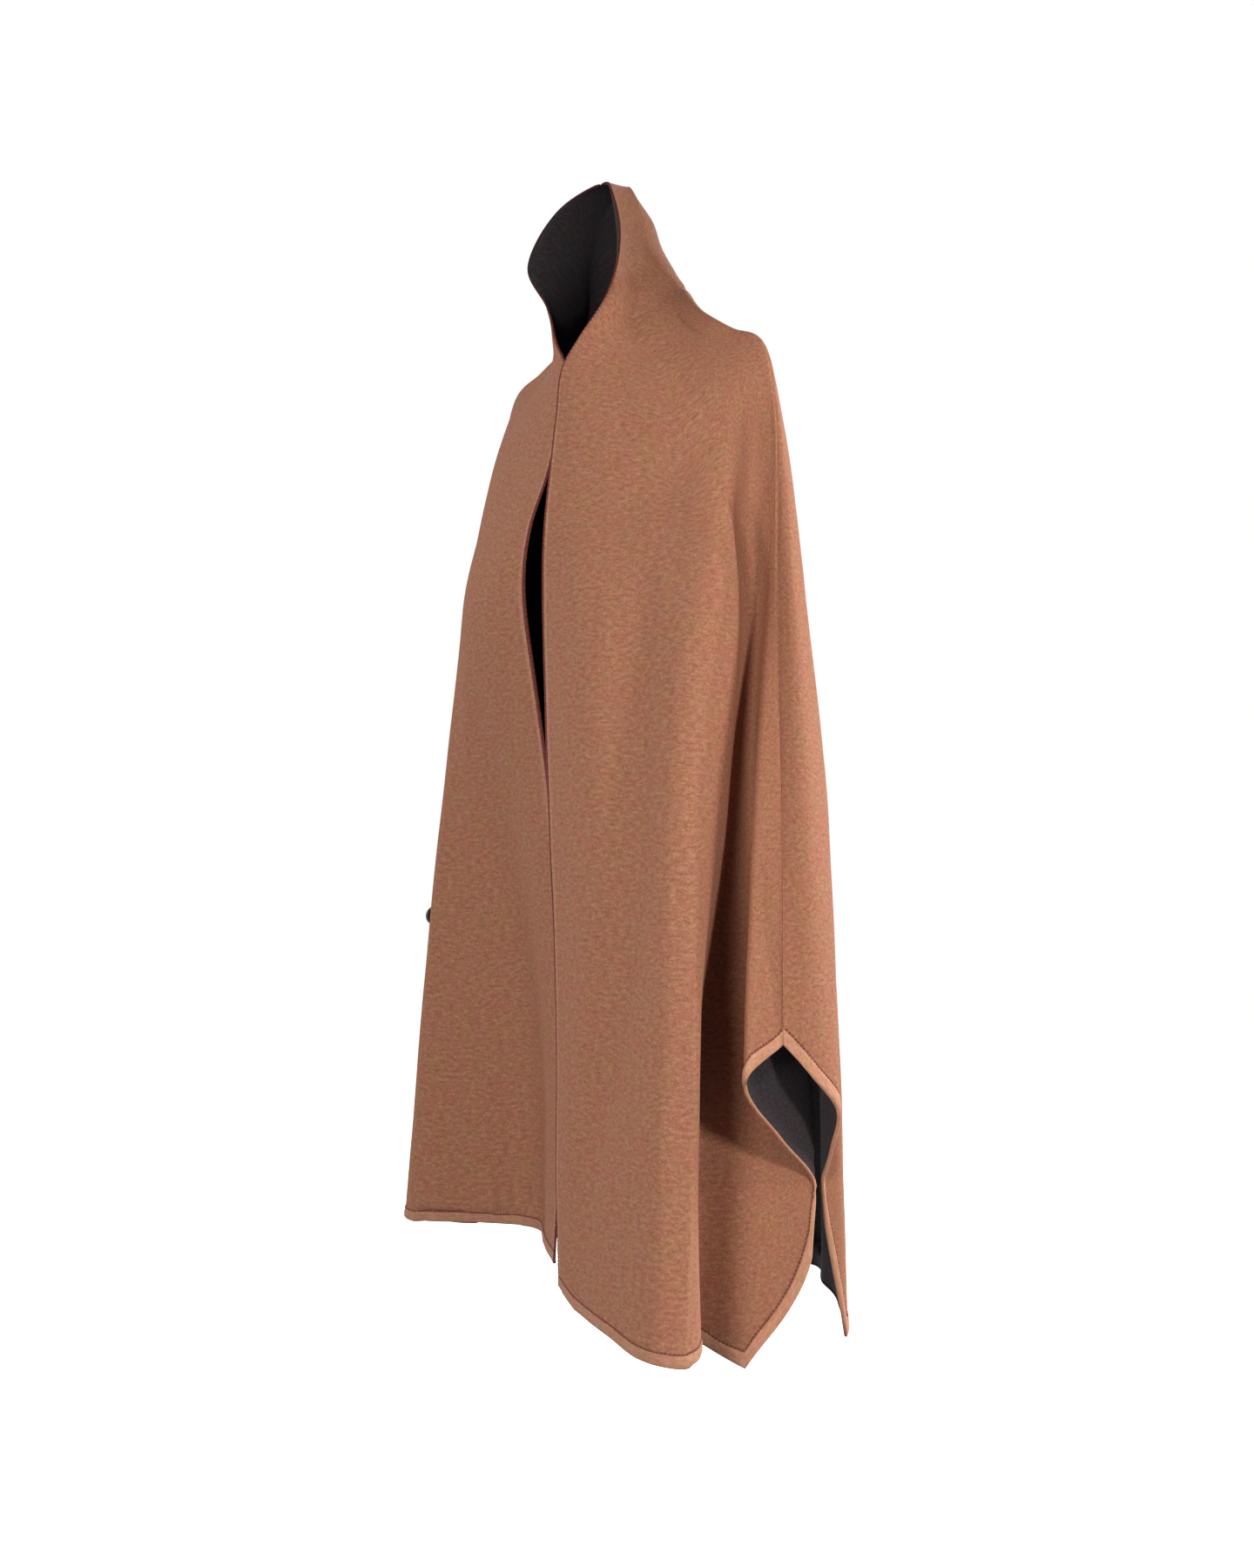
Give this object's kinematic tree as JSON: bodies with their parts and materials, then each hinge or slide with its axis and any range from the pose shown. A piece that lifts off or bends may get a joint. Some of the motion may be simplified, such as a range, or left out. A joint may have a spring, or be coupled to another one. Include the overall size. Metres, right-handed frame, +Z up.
{
  "type": "cape",
  "caption": "Long open-front cape in double-face wool with a grown-on stand-up hood collar, side openings and stitched edge bands, filled out as worn.",
  "frame": {"origin": "midway between the two shoulder points, at their height, where the wearer's shoulders hold the cape up", "axes": "+Z up, -Y the way the wearer faces, +X towards the wearer's left"},
  "size_m": [0.6755, 0.416, 1.2557],
  "materials": {
    "wool": "double-face wool with a short nap, heathered camel outside and charcoal inside",
    "band": "lighter camel wool edge band with a dark red stitch line",
    "button": "dark horn, satin"
  },
  "bodies": {
    "root": {"left_front": "wool", "right_front": "wool", "back": "wool", "left_front_band": "band", "right_front_band": "band", "back_band": "band", "button": "button"}
  },
  "joints": []
}
